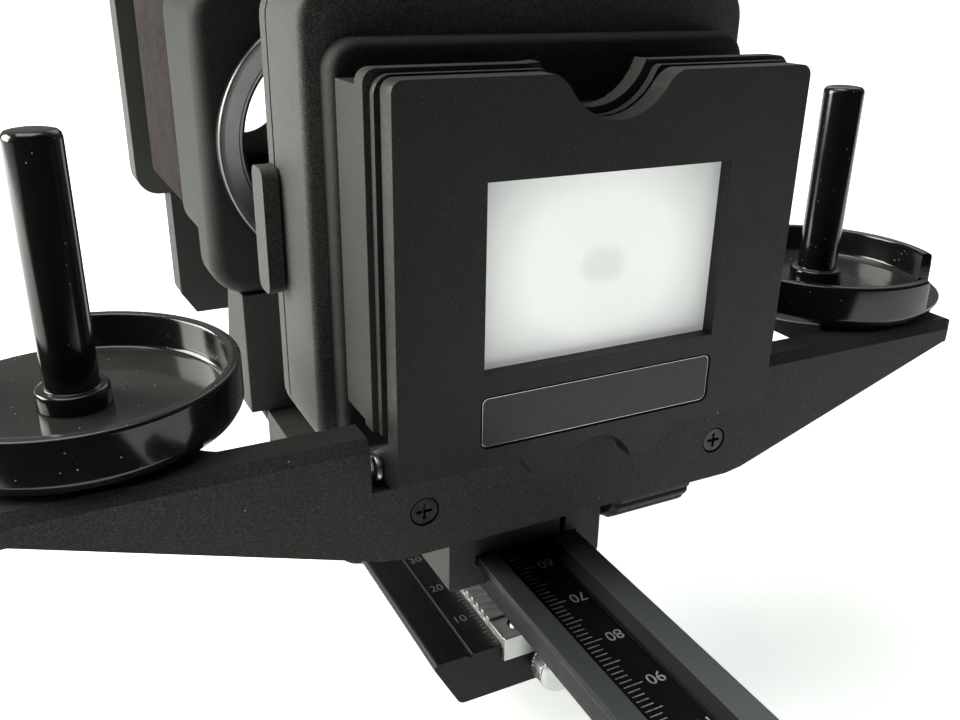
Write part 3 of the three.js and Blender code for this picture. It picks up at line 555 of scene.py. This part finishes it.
def cleaned(node):
    """The node's mesh as a bmesh with whole flat faces, ready for its edges to be rounded."""
    bm = bmesh.new()
    bm.from_mesh(NODES[node].data)
    bmesh.ops.remove_doubles(bm, verts=bm.verts, dist=WELD)
    bmesh.ops.dissolve_limit(bm, angle_limit=math.radians(FLAT_DEGREES), verts=bm.verts,
                             edges=bm.edges, delimit=set())
    return bm


def corner_edges(bm, degrees, where=None):
    found = []
    for edge in bm.edges:
        if len(edge.link_faces) != 2 or edge.calc_length() < 1e-6:
            continue
        if edge.calc_face_angle(0) > math.radians(degrees):
            if where is None or where(edge):
                found.append(edge)
    return found


def bevel(bm, edges, width, segments):
    bmesh.ops.bevel(bm, geom=edges, offset=width * MM, segments=segments, profile=0.5,
                    affect="EDGES", clamp_overlap=True)


def rounded_copy(node, width, first=None):
    """A copy of a CAD node with its edges rounded by width (mm).
    first is (width, segments, where) for the edges that are rounded before the others."""
    bm = cleaned(node)
    if first:
        first_width, segments, where = first
        bevel(bm, corner_edges(bm, 30, where), first_width, segments)
    bevel(bm, corner_edges(bm, CORNER_DEGREES), width, 2)
    mesh = bpy.data.meshes.new(node + "_finished")
    bm.to_mesh(mesh)
    bm.free()
    piece = stand_for(node, node + "_finished", mesh, smooth_angle=32)
    # these nodes get the darker copy of the casting paint: painted shade
    if node in SHADED_NODES:
        mesh.materials[0] = SHADED_CASTING
    soften = piece.modifiers.new("even_normals", "WEIGHTED_NORMAL")
    soften.keep_sharp = True
    return piece


# ---- rounded-rectangle frames ---------------------------------------------------------------------
def frame_ring(x_half, z0, z1, corner, y, corner_steps=9, side_steps=6):
    """Points of a rounded rectangle across Y, heights from the optical axis, all in mm."""
    ring = []
    centres = [(x_half - corner, z0 + corner, -90), (x_half - corner, z1 - corner, 0),
               (corner - x_half, z1 - corner, 90), (corner - x_half, z0 + corner, 180)]
    for i, (cx, cz, start) in enumerate(centres):
        arc = []
        for k in range(corner_steps + 1):
            a = math.radians(start + 90 * k / corner_steps)
            arc.append(Vector((cx + corner * math.cos(a), cz + corner * math.sin(a))))
        nx, nz, nstart = centres[(i + 1) % 4]
        a = math.radians(nstart)
        following = Vector((nx + corner * math.cos(a), nz + corner * math.sin(a)))
        sides = [arc[-1].lerp(following, k / side_steps) for k in range(1, side_steps)]
        ring += arc + sides
    return [(p.x, y, p.y) for p in ring]


def round_ring(radius, y, like):
    """A circle round the optical axis with one point towards each point of another ring."""
    ring = []
    for x, _, z in like:
        a = math.atan2(z, x)
        ring.append((radius * math.cos(a), y, radius * math.sin(a)))
    return ring


def seated(ring, y0=GATE_Y):
    """A ring in mm, its heights from the optical axis, put in its place in metres."""
    return [Vector((x * MM, y0 + y * MM, AXIS_Z + z * MM)) for x, y, z in ring]


def shell_rings(x_half, z0, z1, corner, profile):
    """Rings of a rounded rectangle for each (inset, y) of a profile."""
    return [frame_ring(x_half - inset, z0 + inset, z1 - inset, max(corner - inset, 0.4), y)
            for inset, y in profile]


make_camera()


# ---- castings, plates and rails: CAD shapes with their edges rounded ------------------------------
EDGE_WIDTHS = {             # mm
    "gate_plate": 0.3, "pressure_plate": 0.18, "holder_body": 0.22, "shade_frame": 0.24,
    "crossbar": 0.3, "copier_foot": 0.22, "focus_carriage": 0.3, "tripod_pad": 0.3,
    "lens_standard_foot": 0.3, "camera_standard": 0.3, "camera_standard_foot": 0.3,
    "rail_end_cap_front": 0.2, "rail_end_cap_rear": 0.2,
    "crossbar_screw_left": 0.07, "crossbar_screw_right": 0.07,
    "carriage_screw_front": 0.08, "carriage_screw_rear": 0.08, "rack_end_screw": 0.05,
    "spindle_washer_left": 0.08, "spindle_washer_right": 0.08,
    "pinion_shaft": 0.1, "pinion_cover": 0.1, "lens_release_button": 0.15, "diffuser": 0.1,
}
RACK_EDGES = {"rack": 0.08, "rack_end_block": 0.1, "rack_end_plate": 0.1}
FOCUS_RAIL_LIP = 0.0115     # the focusing rail's round lips are further out than this (m)
CHANNEL_HALF = 0.0053       # half the width of the main rail's channel (m)


def long_outer_edge(edge):
    middle_x = (edge.verts[0].co.x + edge.verts[1].co.x) / 2
    return edge.calc_length() > 0.05 and abs(middle_x) > FOCUS_RAIL_LIP


def build_castings():
    for node, width in EDGE_WIDTHS.items():
        rounded_copy(node, width)
    rounded_copy("focus_rail", 0.15, first=(0.9, 4, long_outer_edge))
    rail = rounded_copy("main_rail", 0.16)
    rail.data.materials.append(CHANNEL_BLACK)
    rail.data.materials.append(SHEEN_GREY)
    for face in rail.data.polygons:
        x, (_, ny, nz) = face.center.x, face.normal
        if abs(x) < CHANNEL_HALF and nz > -0.5 and abs(ny) < 0.5:
            face.material_index = 1
        # upward faces of the rail get the lighter grey, a painted sheen
        elif nz > 0.9:
            face.material_index = 2
    rounded_copy("rail_scale_strip", 0.06).data.materials[0] = CHANNEL_BLACK
    for node, width in RACK_EDGES.items():
        rounded_copy(node, width).data.materials[0] = RACK_STEEL
    plate = rounded_copy("nameplate", 0.16)
    plate.data.materials.append(BRIGHT_EDGE)
    for face in plate.data.polygons:
        if abs(face.normal.y) < 0.97:
            face.material_index = 1


# ---- frames drawn from rounded rectangles -----------------------------------------------------------
def quarter(inset, y, radius_in, radius_back, steps=6):
    """(inset, y) points of a rounded front edge, from the flat front to the flat side."""
    made = []
    for k in range(steps + 1):
        a = math.pi / 2 * k / steps
        made.append((inset + radius_in * (1 - math.sin(a)), y + radius_back * (1 - math.cos(a))))
    return made


def outline(node, corner):
    """(x_half, z0, z1, corner) of a node's box in mm, heights from the optical axis."""
    low, high = lo(node), hi(node)
    return high.x / MM, (low.z - AXIS_Z) / MM, (high.z - AXIS_Z) / MM, corner


LIGHT_PATH = (24, -16.5, 16.5, 2)       # opening through the stage and the housing's front
BELLOWS_TUNNEL = (22, -18, 19, 3)       # opening in the back of the lens standard


def lens_frame():
    """Front body with a broad soft edge, and a smaller rear body that holds the bellows."""
    front, back = behind_gate(lo("lens_standard").y), behind_gate(hi("lens_standard").y)
    step = front + 12
    port = 23.55
    rear_outline = (30.2, -24, 31, 6)
    side = quarter(0, front, 3.2, 4, 10) + [(0, step - 0.4), (0.4, step)]
    body = shell_rings(*outline("lens_standard", 7.5), side)
    rear = shell_rings(*rear_outline, [(0, step + 0.01), (0, step + 0.5), (0, (step + back) / 2),
                                       (0, back - 0.5), (0.5, back)])
    tunnel = [frame_ring(*BELLOWS_TUNNEL, y) for y in (back, back - 0.4, step)]
    hole = [round_ring(port, y, body[0]) for y in (step, front)]
    mesh = rings_mesh("lens_standard_frame", [seated(r) for r in body + rear + tunnel + hole])
    piece = stand_for("lens_standard", "lens_standard_frame", mesh, smooth_angle=28)
    # a still darker copy of the casting paint: painted shade
    piece.data.materials[0] = DEEPER_SHADED_CASTING


def housing_frame():
    """A front plate with the light path through it, and side walls round an open back."""
    node = "housing_shell"
    front, back = behind_gate(lo(node).y), behind_gate(hi(node).y)
    plate_back = front + 2.6
    edge = 1.1
    cavity = (31.4, -28.2, 32, 4)
    side = quarter(0, front, edge, edge) + [(0, (front + back) / 2), (0, back - 0.25), (0.25, back)]
    walls = shell_rings(*outline(node, 6), side)
    hole = [frame_ring(*LIGHT_PATH, y) for y in (front + 0.25, front, plate_back)]
    hole[1] = [(x * 1.008, y, z * 1.008) for x, y, z in hole[1]]
    lip = [frame_ring(*cavity, y) for y in (back, back - 0.3, plate_back)]
    rings = hole[:2] + walls + lip + hole[2:]
    mesh = rings_mesh(node + "_frame", [seated(r) for r in rings])
    stand_for(node, node + "_frame", mesh, smooth_angle=28)


def stage_ring():
    front, back = behind_gate(lo("stage_frame").y), behind_gate(hi("stage_frame").y)
    side = quarter(0, front, 1.3, 1.6) + [(0, back - 0.2), (0.2, back)]
    walls = shell_rings(*outline("stage_frame", 4), side)
    light_path = [frame_ring(*LIGHT_PATH, y) for y in (back, front)]
    mesh = rings_mesh("stage_frame_ring", [seated(r) for r in walls + light_path])
    piece = stand_for("stage_frame", "stage_frame_ring", mesh, smooth_angle=28)
    # a still darker copy of the casting paint: painted shade
    piece.data.materials[0] = DEEPER_SHADED_CASTING


def build_frames():
    lens_frame()
    housing_frame()
    stage_ring()


# ---- reels ------------------------------------------------------------------------------------------
def reel_tray(node, gap_from, gap_to):
    """Dish with a raised rim, the rim left out over the gap's angles and eased at its ends."""
    low, high = lo(node), hi(node)
    centre = Vector((middle(node).x, middle(node).y, low.z))
    radius, top = (high.x - low.x) / 2 / MM, (high.z - low.z) / MM
    wall, floor, bore = 1.7, 2.1, 2.4
    inside = radius - wall
    profile = eased([(bore, 0, 0), (radius - 0.9, 0, 1.4), (radius, 1.6, 1.0), (radius, top, 0.55),
                     (inside, top, 0.55), (inside, floor, 1.1), (bore, floor, 0.3)], 0.3, 5)
    ends = math.radians(1.6)
    start, stop = math.radians(gap_from), math.radians(gap_to)
    around = 150
    angles = [2 * math.pi * j / around for j in range(around)]
    for edge, side in ((start, 1), (stop, -1)):
        angles += [edge + side * ends * t for t in (0, 0.05, 0.12, 0.3, 0.55, 0.8, 1)]
    angles = sorted({round(a % (2 * math.pi), 6) for a in angles})

    def rim_height(a):
        into = (a - start) % (2 * math.pi)
        left = (stop - a) % (2 * math.pi)
        if into + left > 2 * math.pi - 1e-6:
            return top
        t = min(into, left, ends) / ends
        return floor + (top - floor) * math.sqrt(1 - t ** 2) if t < 1 else floor

    rings = []
    for point in profile:
        rings.append([centre + MM * Vector((point.x * math.cos(a), point.x * math.sin(a),
                                            min(point.y, rim_height(a)))) for a in angles])
    mesh = rings_mesh(node + "_dish", rings)
    bm = bmesh.new()
    bm.from_mesh(mesh)
    bmesh.ops.remove_doubles(bm, verts=bm.verts, dist=WELD)
    bmesh.ops.recalc_face_normals(bm, faces=bm.faces)
    bm.to_mesh(mesh)
    bm.free()
    stand_for(node, node + "_dish", mesh, smooth_angle=38)


def reel_spindle(node):
    """Polished post with a collar, on a shank that runs through the tray."""
    centre = Vector((middle(node).x, middle(node).y, lo(node).z))
    top = (hi(node).z - lo(node).z) / MM
    shank, seat, collar_r, collar, post = 2.22, 7.02, 4.6, 9.6, 3.4
    profile = [(0, 0, 0), (shank, 0, 0.2), (shank, seat, 0), (collar_r, seat, 0.2),
               (collar_r, collar, 0.7), (post, collar, 0.25), (post, top, 1.1), (0, top, 0)]
    mesh = solid_turned(node + "_turned", profile, centre, "z", 96, 0.2)
    stand_for(node, node + "_turned", mesh, smooth_angle=40)


def build_reels():
    reel_tray("tray_left", 88, 141)
    reel_tray("tray_right", -78, -25)
    reel_spindle("spindle_left")
    reel_spindle("spindle_right")


# ---- knobs, pins and rings --------------------------------------------------------------------------
def on_x_axis(node):
    """The point of the X axis that is level with a node's middle."""
    return Vector((0, middle(node).y, middle(node).z))


def fluted_knob(node, length, r, flutes, stem_r, stem_from):
    """Clamp knob on the X axis: rounded scallops round the rim, a shallow dish in its end."""
    outer = hi(node).x / MM
    inner = outer - length
    scallop_depth = 0.55

    def scallop(a, q, h):
        if q < r * 0.8 or h < inner + 0.4:
            return q
        return q - scallop_depth * (0.5 + 0.5 * math.cos(a * flutes)) ** 3

    profile = [(0, stem_from, 0), (stem_r, stem_from, 0.1), (stem_r, inner, 0), (r - 1.0, inner, 0.3),
               (r, inner + 1.1, 0.5), (r, inner + length * 0.5, 0), (r, outer - 1.1, 0.9),
               (r - 1.6, outer, 0.5), (r * 0.55, outer, 0.3), (r * 0.45, outer - 0.5, 0.3),
               (0, outer - 0.5, 0)]
    mesh = solid_turned(node + "_fluted", profile, on_x_axis(node), "x", flutes * 12, 0.3, scallop)
    stand_for(node, node + "_fluted", mesh, smooth_angle=40)


def hinge_pin(node, side):
    inner, outer = sorted((abs(lo(node).x) / MM, abs(hi(node).x) / MM))
    pin, head = 1, 1.8
    profile = [(0, inner, 0), (pin, inner, 0.2), (pin, outer - 0.9, 0), (head, outer - 0.9, 0.1),
               (head, outer - 0.25, 0.3), (1.2, outer, 0.4), (0, outer, 0)]
    profile = [(r, side * h, e) for r, h, e in profile]
    mesh = solid_turned(node + "_head", profile, on_x_axis(node), "x", 72, 0.2)
    stand_for(node, node + "_head", mesh, smooth_angle=40)


def stop_knob():
    """Small knurled knob on a stem along Y, with a dished front."""
    node = "rail_stop_knob"
    centre = Vector((middle(node).x, lo(node).y, middle(node).z))
    length = (hi(node).y - lo(node).y) / MM
    rim, shoulder, stem, ridges, groove = 4.6, 4.45, 1.5, 36, 0.22

    def knurl(a, q, h):
        if q < 4.3 or not 0.9 < h < 3.8:
            return q
        return q - groove * (0.5 + 0.5 * math.cos(a * ridges))

    profile = [(0, 0.5, 0), (1.4, 0.5, 0.2), (2.0, 0, 0.2), (3.9, 0, 0.3), (shoulder, 0.6, 0.2),
               (shoulder, 0.95, 0), (rim, 1.0, 0), (rim, 3.7, 0), (shoulder, 3.75, 0),
               (shoulder, 4.1, 0.2), (3.9, 4.6, 0.2), (2.1, 4.6, 0), (2.1, 5.1, 0.1),
               (stem, 5.1, 0), (stem, length, 0.3), (0, length, 0)]
    mesh = solid_turned("rail_stop", profile, centre, "y", ridges * 6, 0.1, knurl)
    stand_for(node, "rail_stop_knurled", mesh, smooth_angle=40)


def mount_ring(node, name, profile):
    centre = Vector((0, lo(node).y, AXIS_Z))
    mesh = turned(name, profile, centre, "y", 192, 0.15)
    ring = stand_for(node, name + "_turned", mesh, smooth_angle=38)
    ring.data.materials[0] = RING_SATIN


def mount_rings():
    mount_ring("lens_mount_ring", "lens_ring", [
        (21.5, 5.2, 0.2), (22.2, 4.3, 0.2), (22.5, 3.1, 0.15), (23.0, 2.9, 0.15), (23.3, 2.2, 0.4),
        (26.6, 0.35, 0.6), (27.3, 0.1, 0.15), (27.7, 0, 0.1), (28, 0.4, 0.2), (28, 2.6, 0.1),
        (23.4, 2.6, 0), (23.4, 9, 0.1), (21.5, 9, 0.1)])
    mount_ring("camera_mount_ring", "camera_ring", [
        (20, 0, 0.1), (23.4, 0, 0.1), (23.4, 8.2, 0), (27, 8.2, 0.1), (27, 10.6, 0.3),
        (26.4, 11.2, 0.2), (12.8, 11.2, 0.2), (12.8, 10, 0.1), (20, 10, 0.2)])


def build_turned_pieces():
    lock_knob = {"length": 11, "r": 6.9, "flutes": 20, "stem_r": 2.02, "stem_from": 10.4}
    fluted_knob("copier_clamp_knob", length=16.5, r=6.9, flutes=20, stem_r=2.02, stem_from=1.0)
    fluted_knob("focus_knob", length=12.4, r=10.8, flutes=28, stem_r=2.9, stem_from=21.7)
    fluted_knob("lens_lock_knob", **lock_knob)
    fluted_knob("camera_lock_knob", **lock_knob)
    hinge_pin("gate_pin_left", -1)
    hinge_pin("gate_pin_right", 1)
    stop_knob()
    mount_rings()


# ---- bellows ---------------------------------------------------------------------------------------
def pleated(node, pleats, depth, wall, corner):
    """Folded square tube: ridges with cut corners, valleys with fuller ones, double walled."""
    low, high = lo(node), hi(node)
    half_x, half_z = (high.x - low.x) / 2 / MM, (high.z - low.z) / 2 / MM
    centre_z = (middle(node).z - AXIS_Z) / MM
    length = (high.y - low.y) / MM
    flat = 0.12          # part of each pleat that is level at its ridge and in its valley

    def ring_at(t, inset):
        phase = (t * pleats) % 1.0
        fold = abs(2 * phase - 1)
        fold = min(1, max(0, (fold - flat) / (1 - 2 * flat)))
        soft = fold * fold * (3 - 2 * fold) * 0.35 + fold * 0.65
        drop = depth * soft + inset
        cut = corner * (1 - 0.45 * soft)
        return frame_ring(half_x - drop, centre_z - half_z + drop, centre_z + half_z - drop,
                          cut, t * length, 5, 8)

    rings_per_pleat = 10
    steps = pleats * rings_per_pleat
    outer = [ring_at(i / steps, 0) for i in range(steps + 1)]
    inner = [ring_at(i / steps, wall) for i in range(steps, -1, -1)]
    rings = [seated(ring, low.y) for ring in outer + inner]
    mesh = rings_mesh(node + "_folds", rings)
    piece = link_piece(node + "_folds", mesh, None, MATERIALS["cloth"], [node],
                       smooth_angle=50)
    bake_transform(piece)


def build_bellows():
    pleated("main_bellows", 14, 3.4, 0.7, 3.2)
    pleated("shade_bellows", 5, 3.0, 0.6, 2.5)


# ---- scales -------------------------------------------------------------------------------------------
def slab(verts, faces, x0, x1, y0, y1, z0, z1):
    base = len(verts)
    for x, y, z in ((x0, y0, z0), (x1, y0, z0), (x1, y1, z0), (x0, y1, z0),
                    (x0, y0, z1), (x1, y0, z1), (x1, y1, z1), (x0, y1, z1)):
        verts.append(Vector((x, y, z)) * MM)
    for face in ((3, 2, 1, 0), (4, 5, 6, 7), (0, 1, 5, 4), (1, 2, 6, 5), (2, 3, 7, 6), (3, 0, 4, 7)):
        faces.append(tuple(base + i for i in face))


def numeral(value, x, y, z, height, flipped):
    """A number laid flat: flipped numbers are upright from the rear, the others from the front."""
    curve = bpy.data.curves.new("numeral", "FONT")
    curve.body = str(value)
    size_per_height = 1.38
    curve.size = height * MM * size_per_height
    curve.align_x = "CENTER"
    curve.align_y = "CENTER"
    curve.extrude = 0.02 * MM
    curve.resolution_u = 3
    holder = bpy.data.objects.new("numeral", curve)
    bpy.context.scene.collection.objects.link(holder)
    bpy.context.view_layer.update()
    mesh = bpy.data.meshes.new_from_object(holder.evaluated_get(bpy.context.evaluated_depsgraph_get()))
    bpy.data.objects.remove(holder)
    turn = Matrix.Rotation(math.pi if flipped else 0, 4, "Z")
    mesh.transform(Matrix.Translation(Vector((x, y, z)) * MM) @ turn)
    return mesh


def scale_piece(name, body, marks, numerals, filling):
    verts, faces = [], []
    for mark in marks:
        slab(verts, faces, *mark)
    bm = bmesh.new()
    bm.from_mesh(mesh_from(name, verts, faces))
    for mesh in numerals:
        bm.from_mesh(mesh)
        bpy.data.meshes.remove(mesh)
    bmesh.ops.remove_doubles(bm, verts=bm.verts, dist=1e-7)
    mesh = bpy.data.meshes.new(name)
    bm.to_mesh(mesh)
    bm.free()
    link_piece(name, mesh, body, filling, smooth_angle=20)


def build_scale(name, body, values, place_of, ends, start, numeral_x, height, flipped, top, filling):
    """Engraved lines across a rail with a number at every tenth.
    ends are the X where a tenth, a fifth and a plain line end; all of them start at start."""
    half_line, sunk, proud = 0.09, 0.02, 0.03
    marks, numerals = [], []
    for value in values:
        y = place_of(value)
        end = ends[0 if value % 10 == 0 else 1 if value % 5 == 0 else 2]
        marks.append((*sorted((start, end)), y - half_line, y + half_line, top - sunk, top + proud))
        if value % 10 == 0:
            numerals.append(numeral(value, numeral_x, y, top + 0.015, height, flipped))
    scale_piece(name, body, marks, numerals, filling)


def build_scales():
    gate = GATE_Y / MM
    rail_zero, focus_zero = gate + 75.2, gate + 17.5
    build_scale("rail_scale_marks", "rail", range(0, 132), lambda v: rail_zero - v,
                (-0.3, -0.6, -1.4), -3.4, 1.85, 2.1, True, hi("rail_scale_strip").z / MM, INK)
    build_scale("focus_scale_marks", "base", range(2, 133), lambda v: focus_zero + v,
                (-6.0, -5.7, -5.2), -4.4, -7.7, 1.9, False, hi("focus_rail").z / MM, DIM_INK)


# ---- floor, backdrop and lights ------------------------------------------------------------------------
def area_light(name, place, target, size, power, tint=(1, 1, 1)):
    data = bpy.data.lights.new(name, "AREA")
    data.shape = "RECTANGLE"
    data.size, data.size_y = size
    data.energy = power
    data.color = tint
    lamp = bpy.data.objects.new(name, data)
    bpy.context.scene.collection.objects.link(lamp)
    lamp.location = place
    lamp.rotation_euler = (Vector(target) - Vector(place)).to_track_quat("-Z", "Y").to_euler()


def stage_object(name, mesh, material):
    """A mesh that isn't part of the object: the floor, the backdrop or a card."""
    placed = bpy.data.objects.new(name, mesh)
    mesh.materials.append(material)
    bpy.context.scene.collection.objects.link(placed)
    return placed


def dark_card(name, corners, upright):
    """A black card on the camera's side that keeps light off the object, unseen itself.
    One that lies on the floor darkens reflections only, so that the floor stays white."""
    mesh = bpy.data.meshes.new(name)
    mesh.from_pydata(corners, [], [(0, 1, 2, 3)])
    black = Surface(name, Roughness=1.0, Specular_IOR_Level=0.0)
    black.colour(black.ramp(black.noise(20), (0.3, 0.004), (0.7, 0.008)))
    card = stage_object(name, mesh, black.material)
    card.visible_camera = False
    card.visible_shadow = False
    card.visible_diffuse = upright


def build_floor():
    bm = bmesh.new()
    bmesh.ops.create_grid(bm, x_segments=8, y_segments=8, size=6)
    mesh = bpy.data.meshes.new("floor")
    bm.to_mesh(mesh)
    bm.free()
    stage_object("floor", mesh, paper_white())


def build_backdrop():
    """A white ball round everything, which the camera sees and the object doesn't."""
    bm = bmesh.new()
    bmesh.ops.create_uvsphere(bm, u_segments=64, v_segments=32, radius=5.8)
    mesh = bpy.data.meshes.new("backdrop")
    bm.to_mesh(mesh)
    bm.free()
    glow = Surface("backdrop", Roughness=1.0, Specular_IOR_Level=0.0, Emission_Strength=1.0)
    tint = glow.ramp(glow.noise(0.4), (0.3, (0.98, 1.0, 0.98)), (0.7, (1.0, 1.0, 1.0)))
    glow.link(tint, glow.shader.inputs["Emission Color"])
    backdrop = stage_object("backdrop", mesh, glow.material)
    backdrop.visible_diffuse = False
    backdrop.visible_glossy = False
    backdrop.visible_shadow = False


def build_world():
    world = bpy.data.worlds.new("studio")
    bpy.context.scene.world = world
    world.use_nodes = True
    background = world.node_tree.nodes["Background"]
    background.inputs["Color"].default_value = (0.96, 1.0, 0.94, 1)
    background.inputs["Strength"].default_value = 0.16


def build_studio():
    build_floor()
    build_backdrop()
    build_world()
    aim = (0, -0.03, 0.08)
    area_light("left_softbox", (-1.05, 0.5, 0.5), aim, (0.9, 0.7), 33, (1.0, 1.0, 0.93))
    area_light("back_softbox", (0.75, 0.85, 0.9), aim, (1.1, 0.6), 2.4, (0.95, 0.98, 1.0))
    area_light("top_softbox", (-0.25, 0.1, 1.3), aim, (1.0, 0.9), 11)
    wide, high, front = 1.6, 0.9, -0.45
    dark_card("front_card", [(-wide, front, 0), (wide, front, 0), (wide, front, high),
                             (-wide, front, high)], True)
    right, near_edge, lift = 0.02, -0.155, 0.0006
    dark_card("floor_card", [(-wide, -wide, lift), (right, -wide, lift), (right, near_edge, lift),
                             (-wide, near_edge, lift)], False)
    view = bpy.context.scene.view_settings
    view.view_transform = "Standard"
    view.look = "None"
    view.exposure = 0.0
    view.gamma = 1.0


build_castings()
build_frames()
build_reels()
build_turned_pieces()
build_bellows()
build_scales()
build_studio()
